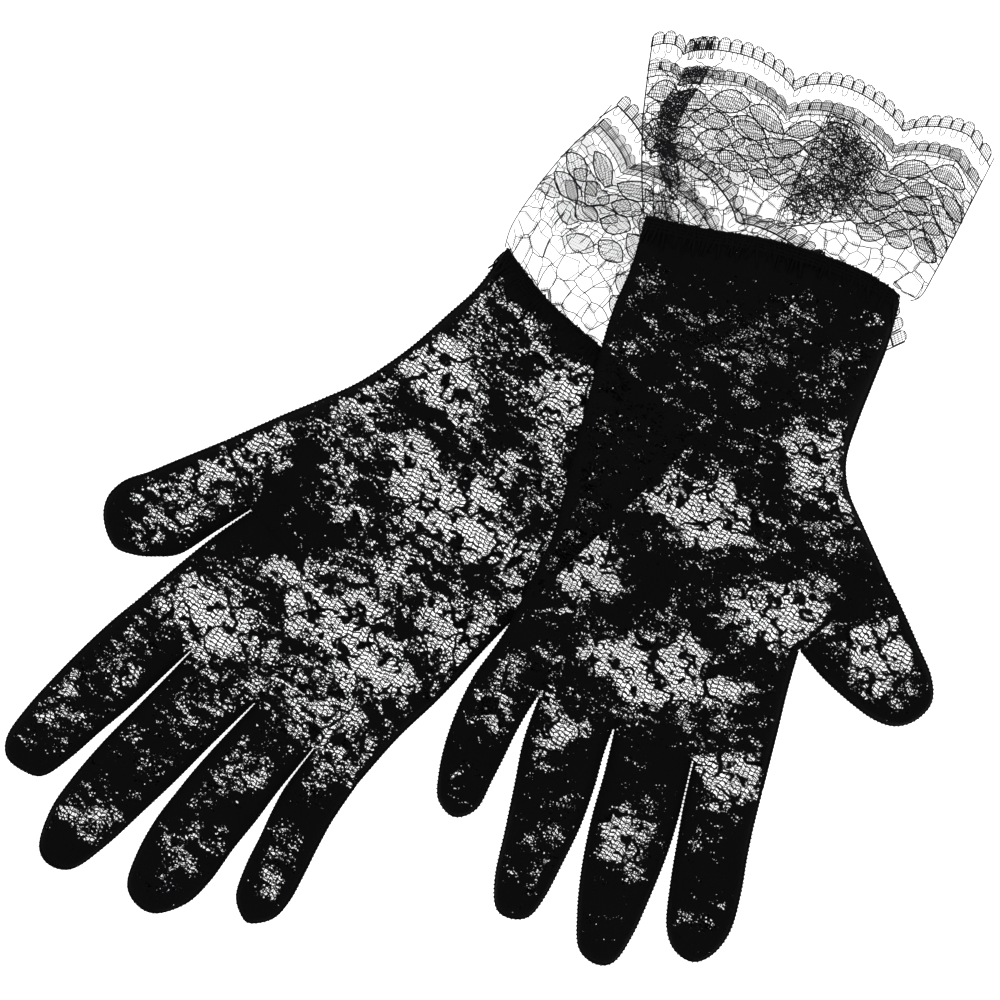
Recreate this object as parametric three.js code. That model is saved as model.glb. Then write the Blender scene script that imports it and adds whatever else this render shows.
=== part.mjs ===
// Pair of short lace dress gloves with gathered ruffle cuffs, laid palm up, the left partly over the right.
// Units are millimetres. Each glove is drawn flat: u runs across the hand towards the thumb,
// v runs from the wrist seam towards the fingertips. Outlines are the finished, sewn edge.
import * as THREE from 'three';

// Driving sizes
const palmWidth = 82;
const handLength = 215;
const cuffDepth = 52;
const cuffMouth = 106;
const scallopPitch = 34;
const scallopRise = 6.5;
const cloth = 0.5;
const palmRoom = 4.4;
const digitRoom = 3;
const seamWidth = 0.8;
const wristBand = 3;
const gap = 0.3;
const restGap = 0.5;
const edgeRound = 9;
const drapeRun = 20;

// Laid positions of the wrist seam centres and the turn of each glove on the table
const rightPlace = { x: 28.7, y: 45.2, turn: 135 };
const leftPlace = { x: 78.6, y: 69.3, turn: 165 };

const wide = palmWidth / 82;
const long = handLength / 215;
const stackHeight = 2 * cloth + palmRoom;
const inset = gap / 2 + seamWidth + gap;

// Edges are listed from the wrist to the fingers, digits from their little-finger side round the tip.
const rightHand = {
  name: 'right',
  mirror: 1,
  wrist: [[-39.6, 1], [-18, 1.2], [0, 1.8], [17, 3], [30, 2], [39, 0.4]],
  outer: [[-39.6, 1], [-39.3, 40], [-39.2, 80], [-40.2, 104], [-39.8, 122], [-40.9, 139.5]],
  thumbSide: [[39, 0.4], [37, 13], [37.5, 25], [38.5, 40], [41.6, 56], [46, 68], [51, 80], [57.5, 97]],
  web: [[37.5, 105.6], [39.8, 118], [41.2, 130], [42.8, 149.5]],
  crotches: [[-24.4, 141.5], [-3, 144.5], [20.9, 147]],
  digits: {
    pinky: [[-40.9, 139.5], [-43.2, 152], [-45.8, 161], [-48.8, 170], [-51.1, 178], [-51.3, 185],
      [-47.6, 190.7], [-43.9, 191.1], [-38.4, 187.8], [-34.2, 179.4], [-31.4, 171], [-28.5, 163],
      [-26.2, 154.8], [-24.4, 141.5]],
    ring: [[-24.4, 141.5], [-26, 157], [-27.6, 168], [-28.8, 179], [-30.6, 190], [-30.4, 199.5], [-26.2, 208],
      [-20.1, 210.4], [-13.8, 208], [-9.4, 199.5], [-6.4, 189], [-4.9, 178], [-3.8, 166], [-3, 144.5]],
    middle: [[-3, 144.5], [-2.8, 162], [-2.9, 176], [-2.5, 190], [-1.9, 204.4], [0.2, 216], [6.2, 220.2],
      [12.4, 218], [17.4, 208], [19.4, 197], [20.4, 184], [20.6, 170], [20.7, 158], [20.9, 147]],
    index: [[20.9, 147], [21.2, 158], [21.6, 170], [22.7, 182], [23.4, 193], [25.2, 202.6], [30, 206],
      [36.9, 206.7], [41.4, 202], [43.2, 192], [43.8, 180], [43.9, 168], [43.5, 157], [42.8, 149.5]],
    thumb: [[37.5, 105.6], [40.3, 118], [42.8, 129], [47.6, 135], [52.4, 139], [58.4, 141.3],
      [65.8, 138], [69.8, 132.5], [69.8, 125.5], [66.4, 118.3], [63.2, 110.5], [57.5, 97]],
  },
  cuffOuter: [[-39.6, 1], [-44.5, -12], [-50.5, -28], [-63, -59]],
  cuffThumb: [[39, 0.4], [42.8, -6.2], [45.4, -18], [46.8, -31], [46.6, -42], [47.2, -50]],
  scallopPhase: 0.4,
};

const leftHand = {
  name: 'left',
  mirror: -1,
  wrist: [[-38.8, -1.6], [-22, -2.2], [0, -4.2], [22, -3], [33, -0.6], [39.3, 1.9]],
  outer: [[-38.8, -1.6], [-39, 12], [-41, 27], [-41.3, 47], [-41, 70], [-40.8, 92], [-43.6, 107.4],
    [-46.8, 123], [-52, 137]],
  thumbSide: [[39.3, 1.9], [39.2, 15], [38, 26], [36.6, 40], [36.5, 50], [39.5, 58.5], [46.1, 67], [56, 79]],
  web: [[37.5, 107.3], [37.3, 119], [37.6, 131], [37.9, 149]],
  crotches: [[-32.5, 139.9], [-8.8, 143.2], [15.8, 146.2]],
  digits: {
    pinky: [[-52, 137], [-53.7, 144], [-54.9, 152], [-55.4, 160], [-55, 168], [-53.4, 175.6], [-48.8, 179.7],
      [-44.4, 179.2], [-40.6, 175], [-38.9, 167], [-37.4, 160], [-36, 152.5], [-34.4, 146], [-32.5, 139.9]],
    ring: [[-32.5, 139.9], [-33.6, 153], [-32.8, 166], [-32, 180], [-31.4, 193], [-29, 201.8], [-24.4, 204.3],
      [-18.6, 202.6], [-15.4, 196], [-12.9, 185], [-10.6, 173], [-9.6, 161], [-9.5, 151], [-8.8, 143.2]],
    middle: [[-8.8, 143.2], [-8.4, 156], [-8.6, 170], [-7.6, 185], [-5.4, 198], [-2.4, 207.4], [3.6, 210.7],
      [9, 208.6], [12.2, 199.8], [14.2, 188], [15.8, 175], [16.3, 164], [16.1, 155], [15.8, 146.2]],
    index: [[15.8, 146.2], [16.2, 158], [17.2, 170], [18.4, 182], [20.4, 194], [24.4, 200.6], [30.9, 202.8],
      [36.2, 199], [39.4, 191], [39.6, 180], [38.6, 169], [38.1, 160], [37.9, 149]],
    thumb: [[37.5, 107.3], [45.6, 113], [54.4, 117.6], [63, 121], [70, 121.4], [75.6, 118],
      [78.8, 111.6], [76.6, 104.2], [70.6, 96.4], [63.7, 87.8], [56, 79]],
  },
  cuffOuter: [[-38.8, -1.6], [-41.3, -7.3], [-44.8, -18.3], [-47.1, -27], [-49.1, -38.8], [-50.5, -49]],
  cuffThumb: [[39.3, 1.9], [44.6, -0.6], [47.2, -8.4], [50, -19.7], [52, -29.2], [55.5, -45]],
  scallopPhase: 0.29,
};

const rightFabric = { color: 0x17171a, roughness: 0.86, metalness: 0 };
const leftFabric = { color: 0x1c1c20, roughness: 0.86, metalness: 0 };
const seamFabric = { color: 0x0d0d0f, roughness: 0.9, metalness: 0 };
const cuffFabric = { color: 0x26262b, roughness: 0.8, metalness: 0 };

// Small helpers on plan points [u, v]
const lerp = (a, b, t) => a + (b - a) * t;
const along = (p, q, t) => [lerp(p[0], q[0], t), lerp(p[1], q[1], t)];
const clamp = (x) => Math.min(1, Math.max(0, x));
const ease = (x) => clamp(x) * clamp(x) * (3 - 2 * clamp(x));
const distance = (p, q) => Math.hypot(p[0] - q[0], p[1] - q[1]);
const steps = (from, to, count) => Array.from({ length: count + 1 }, (_, i) => lerp(from, to, i / count));

// A smooth sewn edge through its points, moved inwards by `shift` (positive is to the right of travel)
function edge(points, mirror, shift) {
  const spline = new THREE.SplineCurve(points.map(([u, v]) => new THREE.Vector2(u * wide, v * long)));
  return (t) => {
    const p = spline.getPointAt(clamp(t));
    const d = spline.getTangentAt(clamp(t));
    return [mirror * (p.x + shift * d.y), p.y - shift * d.x];
  };
}

// Broken edge made of pieces, each running over its own stretch of t
function joined(pieces) {
  return (t) => {
    const piece = pieces.find(({ to }) => t <= to + 1e-9) ?? pieces[pieces.length - 1];
    return piece.at(clamp((t - piece.from) / (piece.to - piece.from)));
  };
}

const chain = (points) => joined(points.slice(1).map((point, i) => ({
  from: i / (points.length - 1),
  to: (i + 1) / (points.length - 1),
  at: (t) => along(points[i], point, t),
})));

// Patch filled between four edges: left and right over t, near and far over s
const fill = (left, right, near, far) => (s, t) => [0, 1].map((k) => lerp(left(t)[k], right(t)[k], s)
  + lerp(near(s)[k], far(s)[k], t)
  - lerp(lerp(left(0)[k], right(0)[k], s), lerp(left(1)[k], right(1)[k], s), t));

// The same patch with its sides cut off where they meet the near row
function between(left, right, near, far) {
  const cut = [left, right].map((side, k) => {
    let [low, high] = [0, 0.3];
    for (let i = 0; i < 30; i += 1) {
      const middle = (low + high) / 2;
      const past = Math.sign(side(0.3)[1] - side(0)[1]) * (side(middle)[1] - near(k)[1]) > 0;
      [low, high] = past ? [low, middle] : [middle, high];
    }
    return (t) => side(lerp(high, 1, t));
  });
  const offset = cut.map((side, k) => side(0)[0] - near(k)[0]);
  const start = (s) => [near(s)[0] + lerp(...offset, s), near(s)[1]];
  return fill(...cut, start, far);
}

// Rise of cloth away from a sewn edge: quarter round, then level
const roundOff = (d, r) => Math.sqrt(1 - (1 - clamp(d / r)) ** 2);

// Height of the lower glove's footprint carried under the upper glove, in table coordinates
const unit = (place, u, v) => {
  const a = THREE.MathUtils.degToRad(place.turn);
  return [place.x + u * Math.cos(a) - v * Math.sin(a), place.y + u * Math.sin(a) + v * Math.cos(a)];
};
const inverse = (place, x, y) => {
  const a = THREE.MathUtils.degToRad(place.turn);
  const [dx, dy] = [x - place.x, y - place.y];
  return [dx * Math.cos(a) + dy * Math.sin(a), dy * Math.cos(a) - dx * Math.sin(a)];
};
const outside = (point, corners) => Math.max(...corners.map((c, i) => {
  const n = corners[(i + 1) % corners.length];
  const run = distance(c, n);
  return ((point[0] - c[0]) * (n[1] - c[1]) - (point[1] - c[1]) * (n[0] - c[0])) / run;
}));
const palmZone = [[-43 * wide, 0], [60 * wide, 0], [60 * wide, 150 * long], [-43 * wide, 150 * long]];
const cuffZone = [[-43 * wide, 3], [-66 * wide, -70 * cuffDepth / 52], [52 * wide, -62 * cuffDepth / 52],
  [41 * wide, 3]];
function liftAt(x, y) {
  const point = inverse(rightPlace, x, y);
  const reach = Math.min(outside(point, palmZone), outside(point, cuffZone));
  return (stackHeight + restGap) * (1 - ease((reach - 2) / drapeRun));
}

const pair = new THREE.Group();

// One closed panel over rows and columns of a patch, between two height functions
function panel(name, parent, look, plan, columns, rows, under, over) {
  const points = [];
  const sides = [under, over];
  for (const height of sides) {
    for (const t of rows) {
      for (const s of columns) {
        const [u, v] = plan(s, t);
        points.push(u, v, height(s, t, u, v));
      }
    }
  }
  const [n, m] = [columns.length, rows.length];
  const at = (side, i, j) => side * n * m + j * n + i;
  const faces = [];
  const quad = (a, b, c, d) => faces.push(a, b, c, a, c, d);
  for (let j = 0; j < m - 1; j += 1) {
    for (let i = 0; i < n - 1; i += 1) {
      quad(at(1, i, j), at(1, i + 1, j), at(1, i + 1, j + 1), at(1, i, j + 1));
      quad(at(0, i, j), at(0, i, j + 1), at(0, i + 1, j + 1), at(0, i + 1, j));
    }
  }
  for (let i = 0; i < n - 1; i += 1) {
    quad(at(0, i, 0), at(0, i + 1, 0), at(1, i + 1, 0), at(1, i, 0));
    quad(at(0, i + 1, m - 1), at(0, i, m - 1), at(1, i, m - 1), at(1, i + 1, m - 1));
  }
  for (let j = 0; j < m - 1; j += 1) {
    quad(at(0, 0, j + 1), at(0, 0, j), at(1, 0, j), at(1, 0, j + 1));
    quad(at(0, n - 1, j), at(0, n - 1, j + 1), at(1, n - 1, j + 1), at(1, n - 1, j));
  }
  const [a, b, c] = [plan(columns[0], rows[0]), plan(columns[1], rows[0]), plan(columns[0], rows[1])];
  const turned = (b[0] - a[0]) * (c[1] - a[1]) - (b[1] - a[1]) * (c[0] - a[0]) < 0;
  const geometry = new THREE.BufferGeometry();
  geometry.setAttribute('position', new THREE.Float32BufferAttribute(points, 3));
  geometry.setIndex(turned ? faces.reverse() : faces);
  geometry.computeVertexNormals();
  const mesh = new THREE.Mesh(geometry, new THREE.MeshStandardMaterial(look));
  mesh.name = name;
  parent.add(mesh);
}

function glove(hand, place, lift, look) {
  const group = new THREE.Group();
  group.position.set(place.x, place.y, 0);
  group.rotation.z = THREE.MathUtils.degToRad(place.turn);
  pair.add(group);
  const { name, mirror } = hand;
  const scaled = ([u, v]) => [mirror * u * wide, v * long];
  const base = (s, t, u, v) => lift(...unit(place, u, v));
  const backTop = (...at) => base(...at) + cloth;
  const sideRise = (s, width) => roundOff(Math.min(s, 1 - s) * width, edgeRound);

  // Palm and back of the hand: filled between wrist seam, side seams and the lines where the digits fold
  const outer = edge(hand.outer, mirror, inset);
  const thumbSide = edge(hand.thumbSide, mirror, -inset);
  const web = edge(hand.web, mirror, -inset);
  const [chordFrom, chordTo] = [0.57, 0.76];
  const radial = joined([
    { from: 0, to: chordFrom, at: thumbSide },
    { from: chordFrom, to: chordTo, at: (t) => along(thumbSide(1), web(0), t) },
    { from: chordTo, to: 1, at: web },
  ]);
  const wristSpline = edge(hand.wrist, mirror, 0);
  const wrist = (s) => {
    const shift = [outer(0), radial(0)].map((p, k) => p[0] - wristSpline(k)[0]);
    return [wristSpline(s)[0] + lerp(...shift, s), wristSpline(s)[1]];
  };
  const wristRow = (v) => (s) => [wrist(s)[0], wrist(s)[1] + v];
  const hinge = [hand.outer.at(-1), ...hand.crotches, hand.web.at(-1)].map(scaled);
  const nearEnd = (p, q) => along(p, q, inset / distance(p, q));
  const knuckles = chain([nearEnd(hinge[0], hinge[1]), ...hinge.slice(1, 4), nearEnd(hinge[4], hinge[3])]);
  const hand2d = between(outer, radial, wristRow(wristBand / 2 + gap), knuckles);
  const palmRows = [...steps(0, chordFrom, 14), ...steps(chordFrom, chordTo, 4).slice(1),
    ...steps(chordTo, 1, 5).slice(1)];
  const palmColumns = [0, 0.03, 0.08, 0.15, 0.25, 0.31, 0.37, 0.44, ...steps(0.5, 0.875, 6), 0.94, 0.97, 1];
  const knuckleBand = (t) => ease((t - 0.84) / 0.16);
  const thumbBand = (s, t) => {
    const q = clamp((t - chordFrom) / (chordTo - chordFrom));
    return roundOff(Math.min(q, 1 - q) * 28 * wide, edgeRound * 0.7) * ease((s - 0.6) / 0.4);
  };
  const palmRise = (s, t) => {
    const finger = (s * 4) % 1;
    const perFinger = roundOff(Math.min(finger, 1 - finger) * palmWidth / 4, edgeRound * 0.7);
    const spread = sideRise(s, palmWidth);
    const open = lerp(Math.max(spread, s > 0.5 ? thumbBand(s, t) : 0), perFinger, knuckleBand(t));
    const room = lerp(palmRoom, digitRoom, Math.max(knuckleBand(t), thumbBand(s, t)));
    return gap + (room - gap) * open;
  };
  const palmUnder = (...at) => backTop(...at) + palmRise(at[0], at[1]);
  panel(`${name}_palm_panel`, group, look, hand2d, palmColumns, palmRows,
    palmUnder, (...at) => palmUnder(...at) + cloth);
  panel(`${name}_back_panel`, group, look, hand2d, palmColumns, palmRows, base, backTop);

  // Overlocked edge joining two panels, as a narrow strip outside them
  const seam = (label, points, side, count, from = 0, to = 1) => {
    const strip = [gap / 2, gap / 2 + seamWidth].map((d) => edge(points, mirror, side * d));
    const foot = (...at) => base(...at) + 0.15;
    panel(`${name}_${label}`, group, seamFabric, (s, t) => along(strip[0](t), strip[1](t), s),
      [0, 1], steps(from, to, count), foot, (...at) => foot(...at) + 2 * cloth + gap - 0.15);
  };
  const trim = (wristBand / 2 + 2 * gap) / (140 * long);
  seam('outer_side_seam', hand.outer, 1, 22, trim, 0.994);
  seam('thumb_side_seam', hand.thumbSide, -1, 16, 1.4 * trim, 0.99);
  seam('thumb_web_seam', hand.web, -1, 6, 0.04, 0.98);

  // Digits: a palm-side and a back panel each, closed round the tip by their own overlocked edge
  Object.entries(hand.digits).forEach(([digit, points], k) => {
    const thumbChord = [hand.web[0], hand.thumbSide.at(-1)].map(scaled);
    const [p, q] = digit === 'thumb' ? thumbChord : [hinge[k], hinge[k + 1]];
    const outline = edge(points, mirror, inset);
    const width = distance(p, q);
    const pushed = ([u, v]) => {
      const off = gap - ((u - p[0]) * (q[1] - p[1]) - (v - p[1]) * (q[0] - p[0])) / width * -mirror;
      const n = [-(q[1] - p[1]) / width * mirror, (q[0] - p[0]) / width * mirror];
      return off > 0 ? [u + n[0] * off, v + n[1] * off] : [u, v];
    };
    const [tipFrom, tipTo] = [0.44, 0.56];
    const up = (t) => pushed(outline(tipFrom * t));
    const down = (t) => pushed(outline(1 - (1 - tipTo) * t));
    const digit2d = fill(up, down, (s) => along(up(0), down(0), s), (s) => outline(lerp(tipFrom, tipTo, s)));
    const rise = (s, t) => {
      const side = roundOff(Math.min(s, 1 - s) * width, edgeRound * 0.7);
      return gap + (digitRoom - gap) * side * roundOff((1 - t) * 2.6 * width, edgeRound);
    };
    const under = (...at) => backTop(...at) + rise(at[0], at[1]);
    const columns = [0, 0.06, 0.18, 0.36, 0.64, 0.82, 0.94, 1];
    const rows = [0, 0.12, 0.26, 0.4, 0.54, 0.68, 0.8, 0.9, 0.96, 1];
    const over = (...at) => under(...at) + cloth;
    panel(`${name}_${digit}_palm_panel`, group, look, digit2d, columns, rows, under, over);
    panel(`${name}_${digit}_back_panel`, group, look, digit2d, columns, rows, base, backTop);
    seam(`${digit}_edge_seam`, points, 1, 34, 0.014, 0.986);
  });

  // Gathered seam at the wrist, split into its palm and back halves
  const bandRows = [-wristBand / 2, wristBand / 2];
  const band2d = (s, t) => wristRow(t)(s);
  const bandColumns = steps(0, 1, 20);
  const bandRise = (...at) => backTop(...at) + gap + (palmRoom - gap) * sideRise(at[0], palmWidth);
  panel(`${name}_wrist_seam_palm`, group, seamFabric, band2d, bandColumns, bandRows,
    bandRise, (...at) => bandRise(...at) + cloth);
  panel(`${name}_wrist_seam_back`, group, seamFabric, band2d, bandColumns, bandRows, base, backTop);

  // Ruffle cuff: flares from the wrist seam to a scalloped edge
  const widened = (v) => 1 + (cuffMouth / 106 - 1) * Math.min(1, -v / 50);
  const drawn = ([u, v]) => [u * widened(v), v * cuffDepth / 52 / long];
  const flare = (points, side) => edge(points.map(drawn), mirror, side * inset);
  const cuffLeft = flare(hand.cuffOuter, -1);
  const cuffRight = flare(hand.cuffThumb, 1);
  const mouth = (s) => {
    const across = s * distance(cuffLeft(1), cuffRight(1));
    const bow = Math.abs(Math.sin(Math.PI * (across / scallopPitch - hand.scallopPhase))) ** 0.6;
    const ends = Math.min(1, s * 12, (1 - s) * 12);
    const [u, v] = along(cuffLeft(1), cuffRight(1), s);
    return [u, v - scallopRise * bow * ends];
  };
  const cuff2d = between(cuffLeft, cuffRight, wristRow(-wristBand / 2 - gap), mouth);
  const cuffRows = [0, 0.1, 0.22, 0.36, 0.5, 0.64, 0.78, 0.9, 1];
  const cuffColumns = steps(0, 1, 32);
  const carried = (...at) => Math.max(0, (lift === liftAt ? stackHeight + restGap : 0) - base(...at));
  const cuffUnder = (...at) => backTop(...at) + gap
    + (palmRoom - gap + carried(...at)) * sideRise(at[0], lerp(palmWidth, cuffMouth, at[1]));
  panel(`${name}_cuff_palm_side`, group, cuffFabric, cuff2d, cuffColumns, cuffRows,
    cuffUnder, (...at) => cuffUnder(...at) + cloth);
  panel(`${name}_cuff_back_side`, group, cuffFabric, cuff2d, cuffColumns, cuffRows, base, backTop);
}

glove(rightHand, rightPlace, () => 0, rightFabric);
glove(leftHand, leftPlace, liftAt, leftFabric);

// Origin on the table, under the middle of the pair
const group = new THREE.Group();
group.name = 'lace_gloves';
group.add(pair);
const box = new THREE.Box3().setFromObject(pair);
pair.position.set(-(box.min.x + box.max.x) / 2, -(box.min.y + box.max.y) / 2, -box.min.z);

export default group;
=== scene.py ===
"""Pair of short black lace gloves with gathered lace ruffle cuffs, laid palm up on a pale table.

Every hand panel is a sheet of see-through floral lace, sewn to its fellow by a real overlocked edge.
The cuffs are sheer sheets that carry their lace work as real thread: ladder edge, picots, leaves and cells.
Lengths in the outlines are millimetres in each glove's own flat pattern: u across towards the thumb,
v from the wrist seam towards the fingertips.
"""

import math
import random

import bpy
from bpy.props import FloatProperty, FloatVectorProperty, IntProperty, PointerProperty
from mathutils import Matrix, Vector, noise


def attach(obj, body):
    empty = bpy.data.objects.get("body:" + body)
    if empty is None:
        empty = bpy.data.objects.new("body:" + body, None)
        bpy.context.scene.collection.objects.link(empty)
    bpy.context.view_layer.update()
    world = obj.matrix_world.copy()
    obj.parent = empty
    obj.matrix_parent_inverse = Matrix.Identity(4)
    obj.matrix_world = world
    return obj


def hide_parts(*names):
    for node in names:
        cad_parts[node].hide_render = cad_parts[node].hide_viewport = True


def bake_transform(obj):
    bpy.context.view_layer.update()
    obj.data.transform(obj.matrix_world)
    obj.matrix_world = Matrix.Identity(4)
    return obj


bl_info = {
    "name": "Lace gloves",
    "version": (1, 0, 0),
    "blender": (4, 5, 0),
    "location": "View3D > Sidebar > Lace gloves",
    "description": "Makes a pair of short lace gloves with ruffle cuffs",
    "category": "Add Mesh",
}

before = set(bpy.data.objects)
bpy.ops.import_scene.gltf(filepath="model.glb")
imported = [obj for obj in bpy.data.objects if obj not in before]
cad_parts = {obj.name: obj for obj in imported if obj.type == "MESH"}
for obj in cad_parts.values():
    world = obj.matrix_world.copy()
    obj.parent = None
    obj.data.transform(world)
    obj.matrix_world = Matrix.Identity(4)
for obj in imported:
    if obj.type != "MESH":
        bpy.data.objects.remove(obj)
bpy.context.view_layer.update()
MM = 0.001

# Where the two gloves lie: wrist seam centre in the frame, and the turn of the glove on the table
PAIR_SHIFT = (1.6415, 1.5833)
RIGHT = {
    "name": "right",
    "mirror": 1,
    "place": (28.7 + PAIR_SHIFT[0], 45.2 + PAIR_SHIFT[1]),
    "turn": math.radians(135),
    "wrist": [(-39.6, 1), (-18, 1.2), (0, 1.8), (17, 3), (30, 2), (39, 0.4)],
    "outer": [(-39.6, 1), (-39.3, 40), (-39.2, 80), (-40.2, 104), (-39.8, 122), (-40.9, 139.5)],
    "thumb_side": [(39, 0.4), (37, 13), (37.5, 25), (38.5, 40), (41.6, 56), (46, 68), (51, 80), (57.5, 97)],
    "web": [(37.5, 105.6), (39.8, 118), (41.2, 130), (42.8, 149.5)],
    "crotches": [(-24.4, 141.5), (-3, 144.5), (20.9, 147)],
    "digits": {
        "pinky": [(-40.9, 139.5), (-43.2, 152), (-45.8, 161), (-48.8, 170), (-51.1, 178), (-51.3, 185),
                  (-47.6, 190.7), (-43.9, 191.1), (-38.4, 187.8), (-34.2, 179.4), (-31.4, 171),
                  (-28.5, 163),
                  (-26.2, 154.8), (-24.4, 141.5)],
        "ring": [(-24.4, 141.5), (-26, 157), (-27.6, 168), (-28.8, 179), (-30.6, 190), (-30.4, 199.5),
                 (-26.2, 208), (-20.1, 210.4), (-13.8, 208), (-9.4, 199.5), (-6.4, 189), (-4.9, 178),
                 (-3.8, 166), (-3, 144.5)],
        "middle": [(-3, 144.5), (-2.8, 162), (-2.9, 176), (-2.5, 190), (-1.9, 204.4), (0.2, 216),
                   (6.2, 220.2),
                   (12.4, 218), (17.4, 208), (19.4, 197), (20.4, 184), (20.6, 170), (20.7, 158),
                   (20.9, 147)],
        "index": [(20.9, 147), (21.2, 158), (21.6, 170), (22.7, 182), (23.4, 193), (25.2, 202.6), (30, 206),
                  (36.9, 206.7), (41.4, 202), (43.2, 192), (43.8, 180), (43.9, 168), (43.5, 157),
                  (42.8, 149.5)],
        "thumb": [(37.5, 105.6), (40.3, 118), (42.8, 129), (47.6, 135), (52.4, 139), (58.4, 141.3),
                  (65.8, 138), (69.8, 132.5), (69.8, 125.5), (66.4, 118.3), (63.2, 110.5), (57.5, 97)],
    },
    "cuff_outer": [(-39.6, 1), (-44.5, -12), (-50.5, -28), (-63, -59)],
    "cuff_thumb": [(39, 0.4), (42.8, -6.2), (45.4, -18), (46.8, -31), (46.6, -42), (47.2, -50)],
    "scallop_phase": 0.735,
    "hang": [5, 3, 2, 1.5, 0],
    "corner": 200,
    "ground": 0.45,
    # turned-back folds: centre at the edge and at the wrist, half width (all shares of the width),
    # then the depths where a fold grows and where it fades
    "pleats": [(0.3, 0.3, 0.03, (-0.2, -0.1), (1.1, 1.2))],
    # the lace's repeat: where its first fan lies, each fan's openness and half length, how open the
    # windows beside the fans are, and patches of net that stand alone: u, v, half lengths, openness
    "first_fan": (-4, 15),
    "fans": [(0.9, 12), (1.1, 20), (1.1, 22), (0.65, 10)],
    "thumb_windows": [1.2, 0.75, 1.1, 0.3],
    "outer_windows": [0.5, 0.85, 0.6, 0.4],
    "edge_net": [(50, 90, 6, 9, 0.9), (57, 104, 6, 7, 0.85), (63, 124, 4, 3, 0.7), (41, 180, 2.4, 12, 0.9)],
}
LEFT = {
    "name": "left",
    "mirror": -1,
    "place": (78.6 + PAIR_SHIFT[0], 69.3 + PAIR_SHIFT[1]),
    "turn": math.radians(165),
    "wrist": [(-38.8, -1.6), (-22, -2.2), (0, -4.2), (22, -3), (33, -0.6), (39.3, 1.9)],
    "outer": [(-38.8, -1.6), (-39, 12), (-41, 27), (-41.3, 47), (-41, 70), (-40.8, 92), (-43.6, 107.4),
              (-46.8, 123), (-52, 137)],
    "thumb_side": [(39.3, 1.9), (39.2, 15), (38, 26), (36.6, 40), (36.5, 50), (39.5, 58.5), (46.1, 67),
                   (56, 79)],
    "web": [(37.5, 107.3), (37.3, 119), (37.6, 131), (37.9, 149)],
    "crotches": [(-32.5, 139.9), (-8.8, 143.2), (15.8, 146.2)],
    "digits": {
        "pinky": [(-52, 137), (-53.7, 144), (-54.9, 152), (-55.4, 160), (-55, 168), (-53.4, 175.6),
                  (-48.8, 179.7),
                  (-44.4, 179.2), (-40.6, 175), (-38.9, 167), (-37.4, 160), (-36, 152.5), (-34.4, 146),
                  (-32.5, 139.9)],
        "ring": [(-32.5, 139.9), (-33.6, 153), (-32.8, 166), (-32, 180), (-31.4, 193), (-29, 201.8),
                 (-24.4, 204.3), (-18.6, 202.6), (-15.4, 196), (-12.9, 185), (-10.6, 173), (-9.6, 161),
                 (-9.5, 151), (-8.8, 143.2)],
        "middle": [(-8.8, 143.2), (-8.4, 156), (-8.6, 170), (-7.6, 185), (-5.4, 198), (-2.4, 207.4),
                   (3.6, 210.7),
                   (9, 208.6), (12.2, 199.8), (14.2, 188), (15.8, 175), (16.3, 164), (16.1, 155),
                   (15.8, 146.2)],
        "index": [(15.8, 146.2), (16.2, 158), (17.2, 170), (18.4, 182), (20.4, 194), (24.4, 200.6),
                  (30.9, 202.8),
                  (36.2, 199), (39.4, 191), (39.6, 180), (38.6, 169), (38.1, 160), (37.9, 149)],
        "thumb": [(37.5, 107.3), (45.6, 113), (54.4, 117.6), (63, 121), (70, 121.4), (75.6, 118),
                  (78.8, 111.6), (76.6, 104.2), (70.6, 96.4), (63.7, 87.8), (56, 79)],
    },
    "cuff_outer": [(-38.8, -1.6), (-41.3, -7.3), (-44.8, -18.3), (-47.1, -27), (-49.1, -38.8),
                   (-50.5, -49)],
    "cuff_thumb": [(39.3, 1.9), (44.6, -0.6), (47.2, -8.4), (50, -19.7), (52, -29.2), (55.5, -45)],
    "scallop_phase": 0.29,
    "hang": [5.5, 4.4, 4.4, 2, 1.2],
    "corner": 12,
    "ground": 0.31,
    "pleats": [(0.127, 0.06, 0.035, (-0.2, -0.1), (1.1, 1.2))],
    "tuck": [(5, -46), (13, -44.5), (23.5, -38), (21, -27), (19.5, -17.5), (9, -13.5), (-1.5, -9.5),
             (0.5, -24)],
    "first_fan": (0, 27),
    "fans": [(0.5, 12), (1, 13), (1, 21), (0.7, 9)],
    "thumb_windows": [0.7, 0.85, 1, 0.5],
    "outer_windows": [0.35, 0.8, 0.75, 0.3],
    "edge_net": [(61, 101, 8, 7, 1), (41, 66, 6, 5, 0.85)],
}
GLOVES = (RIGHT, LEFT)
DIGITS = ("thumb", "index", "middle", "ring", "pinky")

# Heights and rooms in mm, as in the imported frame
CLOTH = 0.5
PALM_ROOM = 4.4
DIGIT_ROOM = 3.0
GAP = 0.3
REST_GAP = 0.5
EDGE_ROUND = 9.0
DRAPE_RUN = 20.0
CUFF_DEPTH = 52.0
# Directions of the net thread, 15 degrees off the cloth
NET_ACROSS = (0.966, 0.259, 0)
NET_ALONG = (-0.259, 0.966, 0)
# The lace: from fan to fan, across to the windows, half sizes, and how full each row of leaves is
LACE_REPEAT = 48.0
LACE_STEP = 30.0
FAN_RISE = 7.8
WINDOW = (12.0, 7.5)
LEAF_ROWS = (1.0, 0.94, 0.9, 0.75, 0.3)
FIRST_LEAVES = 15.4
LEAF_PITCH = 5.3
BLOCK = 3.4
DIGIT_START = 138.0
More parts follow.
